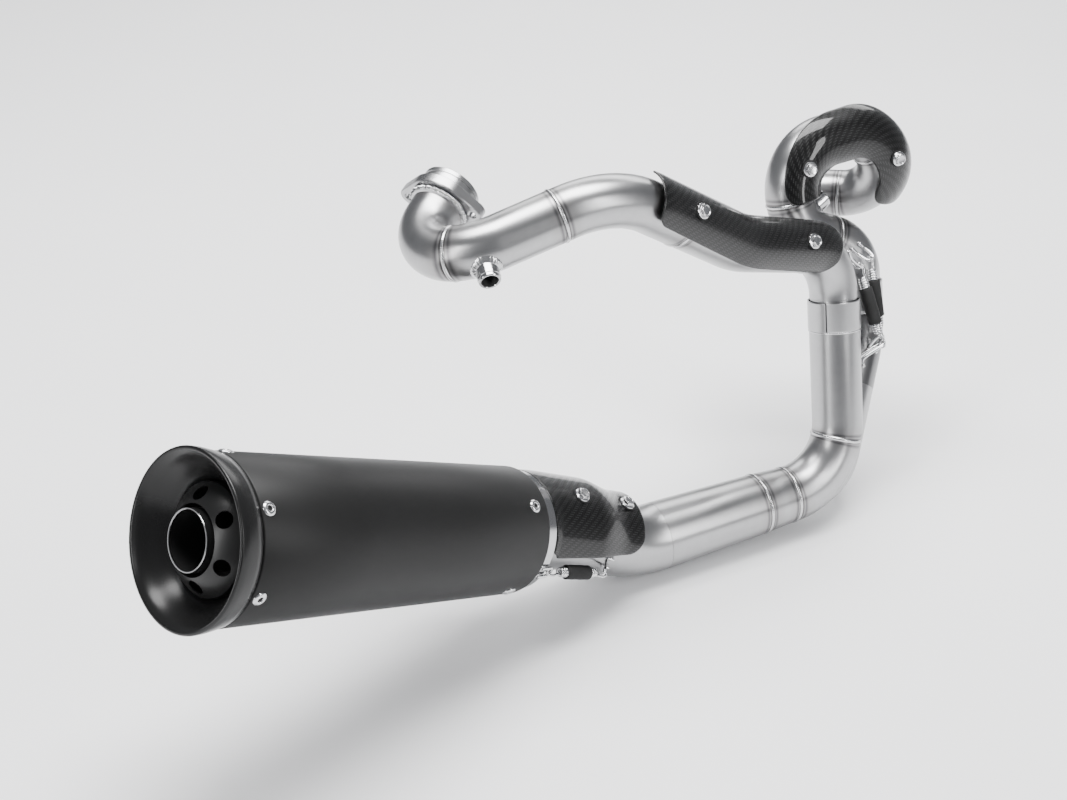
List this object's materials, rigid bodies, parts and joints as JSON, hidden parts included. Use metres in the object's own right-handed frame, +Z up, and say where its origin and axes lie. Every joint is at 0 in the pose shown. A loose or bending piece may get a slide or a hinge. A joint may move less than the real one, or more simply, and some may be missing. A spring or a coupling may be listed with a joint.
{
  "type": "motorcycle racing exhaust system",
  "caption": "Two-into-one motorcycle exhaust with bent headers, sprung slip joints, heat shields and a tapered muffler with a removable baffle.",
  "frame": {"origin": "centre of the rear port flange's mating face, on the port axis", "axes": "+X forward along the motorcycle, +Y to its left, +Z up"},
  "size_m": [0.8311, 0.3695, 0.392],
  "materials": {
    "tube_steel": "satin",
    "polished_steel": "polished",
    "zinc_plate": "bright plated",
    "black_coat": "matte high-temperature coat",
    "carbon_fibre": "clear-coated twill weave",
    "black_rubber": "matte",
    "glass_wool": "matted fibre"
  },
  "bodies": {
    "rear_header": {"rear_port_flange": "tube_steel", "rear_port_elbow": "tube_steel", "rear_sensor_bend": "tube_steel", "rear_sensor_boss": "polished_steel", "rear_crest_tube": "tube_steel", "rear_run_tube": "tube_steel", "rear_drop_elbow": "tube_steel", "rear_slip_end": "tube_steel", "rear_heat_shield": "carbon_fibre", "rear_heat_shield_post_1": "zinc_plate", "rear_heat_shield_bolt_1": "zinc_plate", "rear_heat_shield_post_2": "zinc_plate", "rear_heat_shield_bolt_2": "zinc_plate", "rear_header_hook": "zinc_plate", "rear_joint_spring": "zinc_plate", "rear_joint_sleeve": "black_rubber"},
    "collector": {"rear_slip_collar": "tube_steel", "front_slip_collar": "tube_steel", "rear_down_tube": "tube_steel", "front_down_tube": "tube_steel", "collector_elbow": "tube_steel", "collector_sleeve": "tube_steel", "mid_pipe": "tube_steel", "link_pipe": "tube_steel", "mid_heat_shield": "carbon_fibre", "mid_heat_shield_post_1": "zinc_plate", "mid_heat_shield_bolt_1": "zinc_plate", "mid_heat_shield_post_2": "zinc_plate", "mid_heat_shield_bolt_2": "zinc_plate", "rear_collector_hook": "zinc_plate", "front_collector_hook": "zinc_plate", "link_pipe_hook": "zinc_plate", "muffler_joint_spring": "zinc_plate", "muffler_joint_sleeve": "black_rubber"},
    "front_header": {"front_port_flange": "tube_steel", "front_port_stub": "tube_steel", "front_port_elbow": "tube_steel", "front_loop_tube": "tube_steel", "front_sensor_bend": "tube_steel", "front_sensor_boss": "polished_steel", "front_drop_tube": "tube_steel", "front_slip_end": "tube_steel", "front_heat_shield": "carbon_fibre", "front_heat_shield_post_1": "zinc_plate", "front_heat_shield_bolt_1": "zinc_plate", "front_heat_shield_post_2": "zinc_plate", "front_heat_shield_bolt_2": "zinc_plate", "front_header_hook": "zinc_plate", "front_joint_spring": "zinc_plate", "front_joint_sleeve": "black_rubber"},
    "muffler": {"muffler_sleeve": "black_coat", "muffler_end_cap": "black_coat", "muffler_front_cap": "tube_steel", "muffler_inlet_ring": "polished_steel", "perforated_core": "tube_steel", "sound_packing": "glass_wool", "muffler_hook": "zinc_plate"},
    "baffle": {"baffle_dome": "black_coat", "baffle_tube": "black_coat", "baffle_nut": "zinc_plate"}
  },
  "joints": [
    {"name": "rear_slip", "type": "slide", "parent": "rear_header", "child": "collector", "axis": [-0.087, -0.315, -0.9451], "range_m": [0, 0.01], "stiffness_N_per_m": 2500, "springref_m": -0.03, "deforming": ["rear_joint_spring"]},
    {"name": "front_slip", "type": "slide", "parent": "collector", "child": "front_header", "axis": [0.087, 0.315, 0.9451], "range_m": [0, 0.01], "stiffness_N_per_m": 2500, "springref_m": -0.02, "deforming": ["front_joint_spring"]},
    {"name": "muffler_slip", "type": "slide", "parent": "collector", "child": "muffler", "axis": [-0.8832, -0.2201, 0.4141], "range_m": [0, 0.012], "stiffness_N_per_m": 2000, "springref_m": -0.02, "deforming": ["muffler_joint_spring"]},
    {"name": "baffle_pull", "type": "slide", "parent": "muffler", "child": "baffle", "axis": [-0.8832, -0.2201, 0.4141], "range_m": [0, 0.06]}
  ]
}
